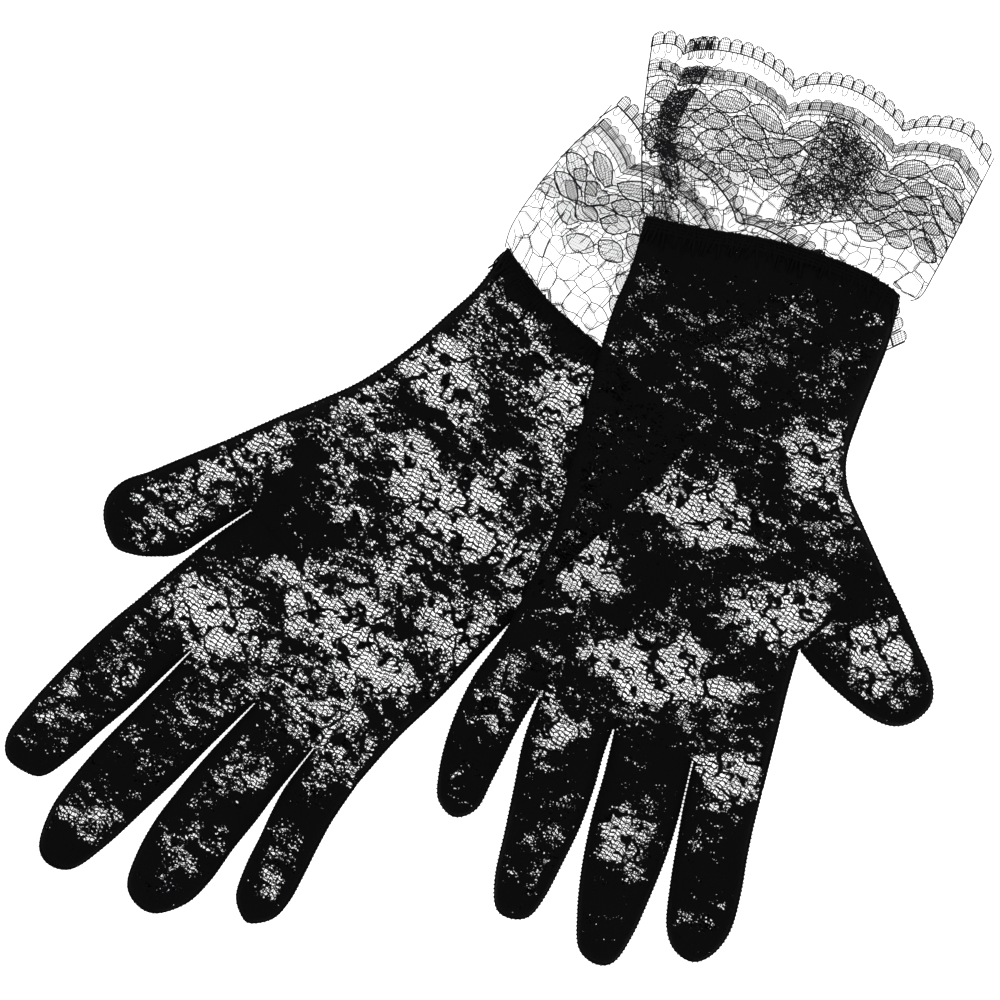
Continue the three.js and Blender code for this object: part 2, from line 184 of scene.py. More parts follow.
# The scallops along the free edge
SCALLOP_PITCH = 34.0
SCALLOP_RISE = 6.5
STACK = 2 * CLOTH + PALM_ROOM
SHEET_INSET = 0.55
FOLD_REACH = 12.0
LAP = 1.3
TIP_SOLID = 16.0
DIGIT_LENGTH = 58
BACK_THREAD = 0.7
BACK_SHORT = 7.5
# where the right thumb's cloth laps over the palm, four layers deep
THUMB_LAP = [(12.9, 93.3), (39.6, 83), (38.5, 125)]


def lerp(a, b, t):
    return a + (b - a) * t


def mix(p, q, t):
    return (lerp(p[0], q[0], t), lerp(p[1], q[1], t))


def clamp(x):
    return min(1.0, max(0.0, x))


def ease(x):
    x = clamp(x)
    return x * x * (3 - 2 * x)


def distance(p, q):
    return math.hypot(p[0] - q[0], p[1] - q[1])


def round_off(d, r):
    """Rise of cloth away from a sewn edge: a quarter round, then level."""
    return math.sqrt(max(0.0, 1 - (1 - clamp(d / r)) ** 2))


class Edge:
    """A smooth sewn edge through its points, read by the share of its length."""

    STEPS = 16

    def __init__(self, points, shift=0.0):
        self.table = []
        last = len(points) - 1
        for i in range(last):
            around = [points[max(i - 1, 0)], points[i], points[i + 1], points[min(i + 2, last)]]
            for k in range(self.STEPS):
                self.table.append(self.catmull(around, k / self.STEPS))
        self.table.append(points[-1])
        self.run = [0.0]
        for p, q in zip(self.table, self.table[1:]):
            self.run.append(self.run[-1] + distance(p, q))
        self.length = self.run[-1]
        self.shift = shift

    @staticmethod
    def catmull(p, t):
        def axis(k):
            slope_a = (p[2][k] - p[0][k]) / 2
            slope_b = (p[3][k] - p[1][k]) / 2
            rise = p[1][k] - p[2][k]
            return ((2 * rise + slope_a + slope_b) * t ** 3
                    + (-3 * rise - 2 * slope_a - slope_b) * t ** 2 + slope_a * t + p[1][k])
        return (axis(0), axis(1))

    def place(self, t):
        want = clamp(t) * self.length
        low, high = 0, len(self.run) - 1
        while high - low > 1:
            middle = (low + high) // 2
            if self.run[middle] <= want:
                low = middle
            else:
                high = middle
        part = (want - self.run[low]) / max(1e-9, self.run[high] - self.run[low])
        p, q = self.table[low], self.table[high]
        size = max(1e-9, distance(p, q))
        return mix(p, q, part), ((q[0] - p[0]) / size, (q[1] - p[1]) / size)

    def __call__(self, t):
        p, d = self.place(t)
        return (p[0] + self.shift * d[1], p[1] - self.shift * d[0])


def fill(left, right, near, far):
    """Patch between four edges: left and right over t, near and far over s."""
    corners = (left(0), right(0), left(1), right(1))

    def at(s, t):
        a, b, c, d = left(t), right(t), near(s), far(s)
        return tuple(lerp(a[k], b[k], s) + lerp(c[k], d[k], t)
                     - lerp(lerp(corners[0][k], corners[1][k], s), lerp(corners[2][k], corners[3][k], s), t)
                     for k in (0, 1))
    return at


def joined(pieces):
    """One edge from several, each over its own stretch (start, end, edge)."""
    def at(t):
        for start, end, piece in pieces:
            if t <= end + 1e-9:
                return piece(clamp((t - start) / (end - start)))
        return pieces[-1][2](1)
    return at


def chain(points):
    return joined([(i / (len(points) - 1), (i + 1) / (len(points) - 1),
                    lambda t, p=points[i], q=points[i + 1]: mix(p, q, t)) for i in range(len(points) - 1)])


def on_table(glove, u, v):
    """Flat pattern to the frame, in mm."""
    c, s = math.cos(glove["turn"]), math.sin(glove["turn"])
    u *= glove["mirror"]
    return glove["place"][0] + u * c - v * s, glove["place"][1] + u * s + v * c


def in_pattern(glove, x, y):
    c, s = math.cos(glove["turn"]), math.sin(glove["turn"])
    dx, dy = x - glove["place"][0], y - glove["place"][1]
    return (dx * c + dy * s) * glove["mirror"], dy * c - dx * s


def outside(point, corners):
    reach = -1e9
    for p, q in zip(corners, corners[1:] + corners[:1]):
        across = (point[0] - p[0]) * (q[1] - p[1]) - (point[1] - p[1]) * (q[0] - p[0])
        reach = max(reach, across / distance(p, q))
    return reach


PALM_ZONE = [(-43, 0), (60, 0), (60, 150), (-43, 150)]
CUFF_ZONE = [(-43, 3), (-66, -70), (52, -62), (41, 3)]


def lift_at(glove, u, v):
    """How far the right glove under it lifts the left glove off the table."""
    if glove["name"] == "right":
        return 0.0
    point = in_pattern(RIGHT, *on_table(glove, u, v))
    reach = min(outside(point, PALM_ZONE), outside(point, CUFF_ZONE))
    return (STACK + REST_GAP) * (1 - ease((reach - 2) / DRAPE_RUN))


def wrinkle(u, v, seed):
    """Low folds of slack stretch cloth, a few tenths of a millimetre."""
    p = Vector((u * 0.055, v * 0.04, seed))
    fine = Vector((u * 0.19, v * 0.12, seed + 7))
    return 0.9 * noise.noise(p) + 0.35 * noise.noise(fine)


def grid_object(name, columns, rows, point):
    """A cloth sheet over columns and rows. point(s, t) gives its place in mm, flat pattern and openness."""
    verts, flat, opens = [], [], []
    for t in rows:
        for s in columns:
            (x, y, z), (u, v), share = point(s, t)
            verts.append((x * MM, y * MM, z * MM))
            flat.append((u, v))
            opens.append(share)
    n = len(columns)
    faces = [(j * n + i, j * n + i + 1, (j + 1) * n + i + 1, (j + 1) * n + i)
             for j in range(len(rows) - 1) for i in range(n - 1)]
    middle = faces[len(faces) // 2]
    a, b, c = (Vector(verts[k]) for k in middle[:3])
    if (b - a).cross(c - a).z < 0:
        faces = [f[::-1] for f in faces]
    return cloth_object(name, verts, faces, flat, opens)


def cloth_object(name, verts, faces, flat=None, opens=None):
    mesh = bpy.data.meshes.new(name)
    mesh.from_pydata(verts, [], faces)
    if flat:
        layer = mesh.uv_layers.new(name="cloth")
        for loop in mesh.loops:
            u, v = flat[loop.vertex_index]
            layer.data[loop.index].uv = (u * 0.01, v * 0.01)
    if opens:
        attribute = mesh.attributes.new("open_net", "FLOAT", "POINT")
        attribute.data.foreach_set("value", opens)
    for polygon in mesh.polygons:
        polygon.use_smooth = True
    mesh.update()
    piece = bpy.data.objects.new(name, mesh)
    bpy.context.scene.collection.objects.link(piece)
    return piece


def tubes_object(name, paths, sides=5, flat_share=1.0):
    """Threads: each path is (points in mm with their radius, closed). Sections stand across the path."""
    verts, faces = [], []
    for points, closed in paths:
        count = len(points)
        if count < 2:
            continue
        first = len(verts)
        for i, (x, y, z, r) in enumerate(points):
            before = points[i - 1] if i or closed else points[i]
            after = points[(i + 1) % count] if i < count - 1 or closed else points[i]
            run = Vector((after[0] - before[0], after[1] - before[1], after[2] - before[2]))
            run = run.normalized() if run.length > 1e-9 else Vector((1, 0, 0))
            across = Vector((0, 0, 1)).cross(run)
            across = across.normalized() if across.length > 1e-6 else Vector((1, 0, 0))
            up = run.cross(across)
            for k in range(sides):
                a = 2 * math.pi * k / sides
                off = across * (r * math.cos(a)) + up * (r * flat_share * math.sin(a))
                verts.append(((x + off.x) * MM, (y + off.y) * MM, (z + off.z) * MM))
        rings = count if closed else count - 1
        for i in range(rings):
            a, b = first + i * sides, first + ((i + 1) % count) * sides
            for k in range(sides):
                n = (k + 1) % sides
                faces.append((a + k, a + n, b + n, b + k))
        if not closed:
            faces.append(tuple(first + k for k in reversed(range(sides))))
            faces.append(tuple(first + (count - 1) * sides + k for k in range(sides)))
    piece = cloth_object(name, verts, faces)
    return piece


def between(left, right, near, far):
    """The same patch with its sides cut off where they meet the near row."""
    cut = []
    for k, side in enumerate((left, right)):
        low, high = 0.0, 0.3
        rising = side(0.3)[1] > side(0)[1]
        for _ in range(30):
            middle = (low + high) / 2
            if (side(middle)[1] > near(k)[1]) == rising:
                high = middle
            else:
                low = middle
        cut.append(lambda t, side=side, high=high: side(lerp(high, 1, t)))
    off = [cut[k](0)[0] - near(k)[0] for k in (0, 1)]
    return fill(cut[0], cut[1], lambda s: (near(s)[0] + lerp(off[0], off[1], s), near(s)[1]), far)


def open_places(glove):
    """Fans of net up the middle and, half a repeat on, windows beside them: u, v, half lengths, openness."""
    u, v = glove["first_fan"]
    places = list(glove["edge_net"])
    for row, (share, half) in enumerate(glove["fans"]):
        places.append((u, v + row * LACE_REPEAT, half, FAN_RISE, share))
        for side, windows in ((1, "thumb_windows"), (-1, "outer_windows")):
            places.append((u + side * LACE_STEP, v + (row + 0.5) * LACE_REPEAT, *WINDOW, glove[windows][row]))
    return places


OPEN_PLACES = {glove["name"]: open_places(glove) for glove in GLOVES}


def openness(glove, u, v):
    """0 where flowers are solid, 1 in open net."""
    seed = 17 if glove["name"] == "right" else 53
    base = glove["ground"] + 0.34 * noise.noise(Vector((u * 0.07, v * 0.07, seed + 40)))
    base -= 0.09 * ease((v - DIGIT_START) / 15)
    value = base
    coarse, fine = Vector((u * 0.09, v * 0.09, seed)), Vector((u * 0.27, v * 0.27, seed + 5))
    u += 5.5 * noise.noise(coarse) + 3.8 * noise.noise(fine)
    coarse.z, fine.z = seed + 9, seed + 14
    v += 5.5 * noise.noise(coarse) + 3.8 * noise.noise(fine)
    for cu, cv, ru, rv, amount in OPEN_PLACES[glove["name"]]:
        x, y = (u - cu) / ru, (v - cv) / rv
        r = (abs(x) ** 1.4 + abs(y) ** 1.4) ** (1 / 1.4)
        if r < 1.6:
            value = max(value, lerp(base, amount, ease((1.6 - r) / 0.8)))
    if glove["name"] == "right":
        value *= lerp(0.25, 1, ease(outside((u, v), THUMB_LAP) / 4))
    return value


class Hand:
    """The flat pattern of one glove's hand and digits as patches, with the height of each cloth."""

    CHORD = (0.57, 0.76)

    def __init__(self, glove, inset=SHEET_INSET):
        self.glove, self.inset = glove, inset
        self.outer = Edge(glove["outer"], inset)
        self.thumb_side = Edge(glove["thumb_side"], -inset)
        self.web = Edge(glove["web"], -inset)
        self.wrist_edge = Edge(glove["wrist"])
        start, end = self.CHORD
        self.radial = joined([(0, start, self.thumb_side),
                              (start, end, lambda t: mix(self.thumb_side(1), self.web(0), t)),
                              (end, 1, self.web)])
        self.hinge = [glove["outer"][-1], *glove["crotches"], glove["web"][-1]]
        first, last = self.hinge[0], self.hinge[4]
        knuckles = chain([mix(first, self.hinge[1], inset / distance(first, self.hinge[1])), *self.hinge[1:4],
                          mix(last, self.hinge[3], inset / distance(last, self.hinge[3]))])
        self.plan = between(self.outer, self.radial, self.wrist_row(0), knuckles)

    def wrist_row(self, v):
        off = [side(0)[0] - self.wrist_edge(k)[0] for k, side in enumerate((self.outer, self.radial))]
        return lambda s: (self.wrist_edge(s)[0] + lerp(off[0], off[1], s), self.wrist_edge(s)[1] + v)

    def palm_rise(self, s, t):
        start, end = self.CHORD
        side = round_off(min(s, 1 - s) * 82, EDGE_ROUND)
        q = clamp((t - start) / (end - start))
        thumb = round_off(min(q, 1 - q) * 28, EDGE_ROUND * 0.7) * ease((s - 0.6) / 0.4)
        knuckle = ease((t - 0.84) / 0.16)
        finger = (s * 4) % 1
        per_finger = round_off(min(finger, 1 - finger) * 20.5, EDGE_ROUND * 0.7)
        share = lerp(max(side, thumb if s > 0.5 else 0), per_finger, knuckle)
        return GAP + (lerp(PALM_ROOM, DIGIT_ROOM, max(knuckle, thumb)) - GAP) * share

    def chord(self, name):
        """The line where a digit folds, from its little-finger side."""
        if name == "thumb":
            return self.glove["web"][0], self.glove["thumb_side"][-1]
        k = ("pinky", "ring", "middle", "index").index(name)
        return self.hinge[k], self.hinge[k + 1]

    def outward(self, name):
        p, q = self.chord(name)
        width = distance(p, q)
        return (-(q[1] - p[1]) / width, (q[0] - p[0]) / width)

    def digit_plan(self, name):
        p = self.chord(name)[0]
        outline = Edge(self.glove["digits"][name], self.inset)
        n = self.outward(name)

        def pushed(point):
            off = -((point[0] - p[0]) * n[0] + (point[1] - p[1]) * n[1])
            return (point[0] + n[0] * off, point[1] + n[1] * off) if off > 0 else point

        start, end = 0.44, 0.56
        up, down = lambda t: pushed(outline(start * t)), lambda t: pushed(outline(1 - (1 - end) * t))
        plan = fill(up, down, lambda s: mix(up(0), down(0), s), lambda s: outline(lerp(start, end, s)))

        def lapped(s, t):
            back = LAP * max(0.0, 1 - 7 * t)
            u, v = plan(s, t)
            return u - n[0] * back, v - n[1] * back
        return lapped

    def digit_rise(self, name, s, t):
        width = distance(*self.chord(name))
        share = round_off(min(s, 1 - s) * width, EDGE_ROUND * 0.7)
        share *= round_off((1 - t) * 2.6 * width, EDGE_ROUND)
        return GAP + (DIGIT_ROOM - GAP) * share

    def place(self, u, v, z):
        x, y = on_table(self.glove, u, v)
        return x, y, z + lift_at(self.glove, u, v)

    def palm_height(self, u, v, rise):
        slack = wrinkle(u, v, 3 if self.glove is RIGHT else 11)
        share = clamp((rise - GAP) / 2)
        crease = 0.45 * (slack - 0.75) if self.glove is RIGHT else 0.8 * slack
        return 1.5 * CLOTH + rise + share * crease

    def back_height(self, u, v):
        return CLOTH / 2 + 0.2 * (1.3 + wrinkle(u, v, 29))

    def fold_line(self, name):
        """Start and end of a short line out from the middle of where a digit folds, in metres in the frame.
        """
        p, q = self.chord(name)
        n = self.outward(name)
        middle = mix(p, q, 0.5)
        far = (middle[0] + FOLD_REACH * n[0], middle[1] + FOLD_REACH * n[1])
        level = lift_at(self.glove, *middle)
        return [tuple(c * MM for c in (*on_table(self.glove, *point), level)) for point in (middle, far)]


def even(first, last, count):
    return [lerp(first, last, i / count) for i in range(count + 1)]


# ---- threads

def rope(path, radius, wrap, pitch):
    """A stitched edge: a core along the path, with thread wound round it."""
    core = [(*p, radius) for p in path]
    wound, turned = [], 0.0
    for i, p in enumerate(path[:-1]):
        q = path[i + 1]
        run = Vector(q) - Vector(p)
        if run.length < 1e-6:
            continue
        across = Vector((0, 0, 1)).cross(run).normalized()
        up = run.normalized().cross(across)
        steps = max(1, round(run.length / (pitch / 5)))
        for k in range(steps):
            c = Vector(p) + run * (k / steps)
            a = 2 * math.pi * turned / pitch
            turned += run.length / steps
            wound.append((*(c + (across * math.cos(a) + up * math.sin(a)) * radius), wrap))
    return [(core, False), (wound, False)]


# ---- cuff lace

class Cuff:
    """The ruffle as a flat strip of edging lace, a mm along it and b mm in from its scalloped edge."""

    def __init__(self, glove, hand):
        self.glove, self.hand = glove, hand
        self.left, self.right = Edge(glove["cuff_outer"], -0.3), Edge(glove["cuff_thumb"], 0.3)
        self.width = distance(self.left(1), self.right(1))
        self.plan = between(self.left, self.right, hand.wrist_row(-1.2), self.mouth)
        self.cache = {}

    def mouth(self, s):
        bow = abs(math.sin(math.pi * (s * self.width / SCALLOP_PITCH - self.glove["scallop_phase"]))) ** 0.6
        ends = min(1, s * 12, (1 - s) * self.glove["corner"])
        u, v = mix(self.left(1), self.right(1), s)
        return u, v - self.deeper(s) - SCALLOP_RISE * bow * ends

    def deeper(self, s):
        """How far the edge hangs below a straight line between the cuff's corners."""
        stops = self.glove["hang"]
        x = clamp(s) * (len(stops) - 1)
        k = min(int(x), len(stops) - 2)
        return lerp(stops[k], stops[k + 1], ease(x - k))

    def pleats(self, t):
        """Turned-back folds at this depth: centre and half width, in shares of the cuff's width."""
        out = []
        for top, foot, half, low, high in self.glove["pleats"]:
            w = half * ease((t - low[0]) / (low[1] - low[0]))
            w *= 1 - ease((t - high[0]) / (high[1] - high[0]))
            out.append((lerp(foot, top, t) + 0.02 * math.sin(9 * t), w))
        return out

    def length(self, t):
        return self.width * (1 + 4 * sum(w for _, w in self.pleats(t)))

    def fold(self, a, t):
        """Where the strip lies across the cuff, and how many layers up."""
        s, level = a / self.width, 0.0
        soft = 0.012
        for centre, w in self.pleats(t):
            if w < 1e-4:
                continue
            turn = centre + w
            if s < turn:
                level += 0.5 * ease((s - turn + soft) / soft)
                return s, level
            if s < turn + 2 * w:
                level += 0.5 + 0.5 + 0.5 * ease((s - turn - 2 * w + soft) / soft)
                return 2 * turn - s, level
            s -= 4 * w
            level += 2 * max(0.0, 1 - (s - centre + w) / (3 * w))
        return s, level

    def at(self, a, b, palm, off=0.0):
        if not palm:
            b += BACK_SHORT * (1 - clamp(b / CUFF_DEPTH))
        t = clamp(1 - b / CUFF_DEPTH)
        s, level = self.fold(a, t)
        s = clamp(s)
        out = b < 0
        u, v = self.plan(s, t)
        if out:
            v += b
        ruffle = math.sin(2 * math.pi * (s * 5.3 + 0.3 * math.sin(5 * t))) * ease(t / 0.5)
        ruffle += 0.5 * wrinkle(u * 1.4, v * 1.4, 41)
        share = round_off(min(s, 1 - s) * lerp(82, self.width, t), EDGE_ROUND)
        if palm:
            room = (PALM_ROOM - GAP) * (0.72 if self.glove is RIGHT else 1)
            level_z = 1.5 * CLOTH + GAP + room * share + 0.42 * level
            carried = 0.0 if self.glove is RIGHT else (STACK + REST_GAP - lift_at(self.glove, u, v)) * share
            z = level_z + max(0.0, carried) + ruffle * share * (0.3 if self.glove is RIGHT else 0.9)
        else:
            z = CLOTH / 2 + 0.14 * level + 0.25 * (1 + ruffle)
        x, y = on_table(self.glove, u, v)
        return x, y, z + lift_at(self.glove, u, v) + off


def bow_of(cuff, a):
    return abs(math.sin(math.pi * (a / SCALLOP_PITCH - cuff.glove["scallop_phase"]))) ** 0.6


def draw(points, step=1.4):
    """A thread through flat points, stepped finely enough to follow the cloth."""
    out = [points[0]]
    for p, q in zip(points, points[1:]):
        n = max(1, round(distance(p, q) / step))
        out += [mix(p, q, k / n) for k in range(1, n + 1)]
    return out


def leaf(a, b, long, wide, turn):
    """Outline of a leaf, pointed at both ends, in the strip's flat plane."""
    c, s = math.cos(turn), math.sin(turn)
    ring = []
    for k in range(20):
        angle = 2 * math.pi * k / 20
        x, y = math.cos(angle) * long / 2, math.sin(angle) * abs(math.sin(angle)) ** 0.85 * wide / 2
        ring.append((a + x * c - y * s, b + x * s + y * c))
    return ring


def hatch(ring, turn, pitch, slant=0.0):
    """Parallel threads across a closed outline."""
    c, s = math.cos(turn + slant), math.sin(turn + slant)
    local = [(p[0] * c + p[1] * s, -p[0] * s + p[1] * c) for p in ring]
    low, high = min(p[0] for p in local), max(p[0] for p in local)
    lines, x = [], low + pitch * 0.6
    while x < high:
        cuts = []
        for p, q in zip(local, local[1:] + local[:1]):
            if (p[0] - x) * (q[0] - x) < 0:
                cuts.append(p[1] + (q[1] - p[1]) * (x - p[0]) / (q[0] - p[0]))
        if len(cuts) >= 2:
            ends = (min(cuts), max(cuts))
            lines.append([(x * c - y * s, x * s + y * c) for y in ends])
        x += pitch
    return lines


def inside(point, rings):
    for ring in rings:
        hit = False
        for p, q in zip(ring, ring[1:] + ring[:1]):
            if (p[1] > point[1]) != (q[1] > point[1]):
                if point[0] < p[0] + (q[0] - p[0]) * (point[1] - p[1]) / (q[1] - p[1]):
                    hit = not hit
        if hit:
            return True
    return False


def garlands(cuff, rng, length):
    """Leaves of the edging lace, end to end along the scallops, fewer towards the wrist."""
    rings = []
    for row, share in enumerate(LEAF_ROWS):
        a = 0.8 + 4.6 * (row % 2)
        while a < length - 8:
            long, wide = rng.uniform(9.4, 12.6), rng.uniform(4.9, 6.3)
            middle = a + long / 2
            slope = clamp(0.5 + 0.45 * (bow_of(cuff, middle + 2) - bow_of(cuff, middle - 2))) - 0.5
            depth = FIRST_LEAVES + LEAF_PITCH * row + 1.7 * bow_of(cuff, middle) + rng.uniform(-0.4, 0.4)
            ring = leaf(middle, depth, long, wide, 0.8 * slope + rng.uniform(-0.16, 0.16))
            if rng.random() < share:
                rings.append(ring)
            a += long + rng.uniform(-0.2, 0.5)
    return rings


def ground_net(rng, length, first_b, last_b, cell):
    """Uneven honeycomb ground as edges between wandering corners."""
    corners, edges = {}, []
    high = cell * 0.866
    rows = int((last_b - first_b) / (high / 2)) + 2
    for j in range(rows):
        for i in range(int(length / cell) + 2):
            a = i * cell * 1.0 + (cell / 2 if (j // 2) % 2 else 0)
            b = first_b + j * high / 2 + (cell * 0.14 if j % 2 else -cell * 0.14)
            corners[i, j] = (a + rng.uniform(-0.24, 0.24) * cell, b + rng.uniform(-0.2, 0.2) * cell)
    for (i, j), p in corners.items():
        if j % 2 == 0:
            q = corners.get((i, j + 1))
            if q:
                edges.append((p, q))
        else:
            shift = 1 if (j // 2) % 2 else 0
            for di in (shift - 1, shift):
                q = corners.get((i + di, j + 1))
                if q:
                    edges.append((p, q))
    return edges


def edging_lace(cuff, seed):
    """All the threads of one side's lace as flat lines with their radius."""
    rng = random.Random(seed)
    length = max(cuff.length(t / 10) for t in range(11))
    lines = []
    for i in range(int(length / BLOCK)):
        a0, a1 = i * BLOCK + 0.12, (i + 1) * BLOCK - 0.12
        ring = [(a0, 3.3), (a0 + 0.05, 0.9), (a0 + 0.6, 0.05), (a0 + 1.58, -0.25), (a1 - 0.6, 0.05),
                (a1 - 0.05, 0.9), (a1, 3.3)]
        lines.append((ring + ring[:1], 0.19))
        lines += [(h, 0.12) for h in hatch(ring, 0, 0.52)] + [(h, 0.1) for h in hatch(ring, math.pi / 2, 0.8)]
        lines.append(([(a0 + 0.75, 3.4), (a0 + 0.8, 5.1), (a0 + 1.2, 5.8), (a0 + 1.95, 5.8), (a0 + 2.35, 5.1),
                       (a0 + 2.4, 3.4)], 0.16))
    lines.append(([(0, 3.4), (length, 3.4)], 0.26))

    def second(a, b):
        return b + 7.6 + 1.4 * bow_of(cuff, a)

    for row, radius in ((0, 0.15), (3.7, 0.2)):
        lines.append(([(a, second(a, row)) for a in even(0, length, int(length / 1.5))], radius))
    for a in even(0.3, length - 0.3, int(length / 0.55)):
        lines.append(([(a, second(a, 0)), (a, second(a, 3.7))], 0.11))
    for row in (1.2, 2.5):
        lines.append(([(a, second(a, row)) for a in even(0, length, int(length / 1.5))], 0.08))
    rings = garlands(cuff, rng, length)
    for ring in rings:
        lines.append((ring + ring[:1], 0.27))
        turn = rng.uniform(-0.5, 0.5)
        lines += [(h, 0.12) for h in hatch(ring, turn, 0.66)]
        lines += [(h, 0.1) for h in hatch(ring, turn + math.pi / 2, 0.95)]
    for first_b, last_b, cell, radius in ((12.5, 35, 3.1, 0.17), (33, 52, 7.4, 0.19)):
        for p, q in ground_net(rng, length, first_b, last_b, cell):
            middle = mix(p, q, 0.5)
            if inside(middle, rings) or not 0 < middle[0] < length or not 11.8 < middle[1] < 51:
                continue
            bend = (middle[0] + rng.uniform(-0.4, 0.4), middle[1] + rng.uniform(-0.4, 0.4))
            lines.append(([p, bend, q], radius))
            d = distance(p, q)
            if d > 3.4 and rng.random() < 0.38:
                along = ((q[0] - p[0]) / d, (q[1] - p[1]) / d)
                across = (-along[1], along[0])
                for k in range(int(d * 0.7 / 0.62)):
                    x = d * 0.15 + 0.62 * k
                    c = (p[0] + along[0] * x, p[1] + along[1] * x)
                    lines.append(([(c[0] - across[0] * 0.75, c[1] - across[1] * 0.75),
                                   (c[0] + across[0] * 0.75, c[1] + across[1] * 0.75)], 0.13))
    lines.append(([(0.2, 0.5), (0.2, CUFF_DEPTH)], 0.27))
    return lines, length


def lace_paths(cuff, lines, length, palm):
    paths = []
    for points, radius in lines:
        fine = []
        for a, b in draw(points):
            t = clamp(1 - b / CUFF_DEPTH)
            if -0.6 <= a <= cuff.length(t) + 0.3 and b <= CUFF_DEPTH:
                fine.append((*cuff.at(a, b, palm, 0.1), radius if palm else radius * 0.75))
            elif len(fine) > 1:
                paths.append((fine, False))
                fine = []
            else:
                fine = []
        if len(fine) > 1:
            paths.append((fine, False))
    edge = []
    for b in even(0.5, CUFF_DEPTH, 40):
        last = cuff.length(clamp(1 - b / CUFF_DEPTH)) - 0.2
        edge.append((*cuff.at(last, b, palm, 0.1), 0.2))
    return paths + [(edge, False)]


def crumple(cuff, seed):
    """Loose loops of lace caught in a pleat, and the layers of a tuck that lies over the ruffle."""
    rng = random.Random(seed)
    paths = []

    def loop(start, keep, height, reach=7):
        (u, v), angle, points = start, rng.uniform(0, 2 * math.pi), []
        for _ in range(reach):
            if not keep(u, v):
                break
            x, y = on_table(cuff.glove, u, v)
            z = height + rng.uniform(0, 0.9) + lift_at(cuff.glove, u, v)
            points.append((x, y, z, rng.uniform(0.12, 0.19)))
            angle += rng.uniform(-1.1, 1.1)
            u, v = u + math.cos(angle), v + math.sin(angle)
        if len(points) > 2:
            paths.append((points, False))

    sides = [[cuff.plan(s, t) for t in even(0.02, 0.93, 8)] for s in (0.015, 0.985)]
    cloth_edge = sides[0] + [cuff.plan(s, 0.93) for s in even(0.04, 0.96, 30)] + sides[1][::-1]
    top = 1.5 * CLOTH + PALM_ROOM * (0.72 if cuff.glove is RIGHT else 1) + 0.9
    for centre_top, centre_foot, half, _, _ in cuff.glove["pleats"]:
        for _ in range(75):
            t = rng.uniform(0.05, 0.92)
            spread = half * (1.15 + 0.55 * math.sin(8 * t + 1))
            s = lerp(centre_foot, centre_top, t) + rng.gauss(0, 1) * spread + 0.02 * math.sin(9 * t)
            share = round_off(min(s, 1 - s) * 100, EDGE_ROUND)
            height = 1.6 + (top - 1.6) * share
            loop(cuff.plan(clamp(s), t), lambda u, v: inside((u, v), [cloth_edge]), height, 11)
    corners = cuff.glove.get("tuck")
    if corners:
        us, vs = [p[0] for p in corners], [p[1] for p in corners]
        ring = draw([*corners, corners[0]], 2.0)
        for depth in (0, 0.7):
            cord = []
            for u, v in ring:
                u, v = u + rng.uniform(-0.28, 0.28) + depth, v + rng.uniform(-0.28, 0.28)
                cord.append((*on_table(cuff.glove, u, v), top + 0.8 + lift_at(cuff.glove, u, v), 0.19))
            paths.append((cord, False))
        for _ in range(560):
            start = (rng.uniform(min(us), max(us)), rng.uniform(min(vs), max(vs)))
            loop(start, lambda u, v: inside((u + rng.uniform(-0.5, 0.5), v), [corners]), top, 9)
    return paths



# ---- materials

class Nodes:
    """Short hand for laying out a node tree."""

    def __init__(self, tree):
        self.tree = tree
        tree.nodes.clear()

    def add(self, kind, settings=None, **inputs):
        node = self.tree.nodes.new(kind)
        for key, value in (settings or {}).items():
            setattr(node, key, value)
        for key, value in inputs.items():
            self.put(node.inputs[key.replace("_", " ")], value)
        return node

    def put(self, socket, value):
        if isinstance(value, bpy.types.NodeSocket):
            self.tree.links.new(value, socket)
        else:
            socket.default_value = value

    def math(self, operation, a, b=0.0, clamped=False):
        node = self.add("ShaderNodeMath", {"operation": operation, "use_clamp": clamped})
        self.put(node.inputs[0], a)
        self.put(node.inputs[1], b)
        return node.outputs[0]

    def vector(self, operation, a, b=(0, 0, 0)):
        node = self.add("ShaderNodeVectorMath", {"operation": operation})
        self.put(node.inputs[0], a)
        self.put(node.inputs[1], b)
        return node.outputs["Value" if operation == "DOT_PRODUCT" else "Vector"]

    def scaled(self, a, size):
        node = self.add("ShaderNodeVectorMath", {"operation": "SCALE"})
        self.put(node.inputs[0], a)
        self.put(node.inputs["Scale"], size)
        return node.outputs[0]

    def noise(self, place, seed, scale, detail=1.0, output="Fac"):
        node = self.add("ShaderNodeTexNoise", {"noise_dimensions": "4D"}, Vector=place, Scale=scale,
                        Detail=detail)
        self.put(node.inputs["W"], seed)
        return node.outputs[output]

    def sum(self, *parts):
        total = parts[0]
        for part in parts[1:]:
            total = self.math("ADD", total, part)
        return total

    def swing(self, value, size):
        """A noise value about its middle, made larger."""
        return self.math("MULTIPLY", self.math("SUBTRACT", value, 0.5), size)


def group(name, inputs, outputs):
    tree = bpy.data.node_groups.new(name, "ShaderNodeTree")
    for direction, sockets in (("INPUT", inputs), ("OUTPUT", outputs)):
        for label, kind in sockets:
            tree.interface.new_socket(label, in_out=direction, socket_type="NodeSocket" + kind)
    return tree


def thread_lines(nodes, place, direction, pitch, share, wobble):
    """1 on threads that run straight across a direction."""
    along = nodes.math("ADD", nodes.vector("DOT_PRODUCT", place, direction), wobble)
    turn = nodes.math("FRACT", nodes.math("DIVIDE", along, pitch))
    wave = nodes.math("ABSOLUTE", nodes.math("SUBTRACT", turn, 0.5))
    edge = nodes.math("SUBTRACT", 0.5, nodes.math("MULTIPLY", share, 0.5))
    return nodes.math("MULTIPLY", nodes.math("SUBTRACT", wave, edge), 14.0, clamped=True)


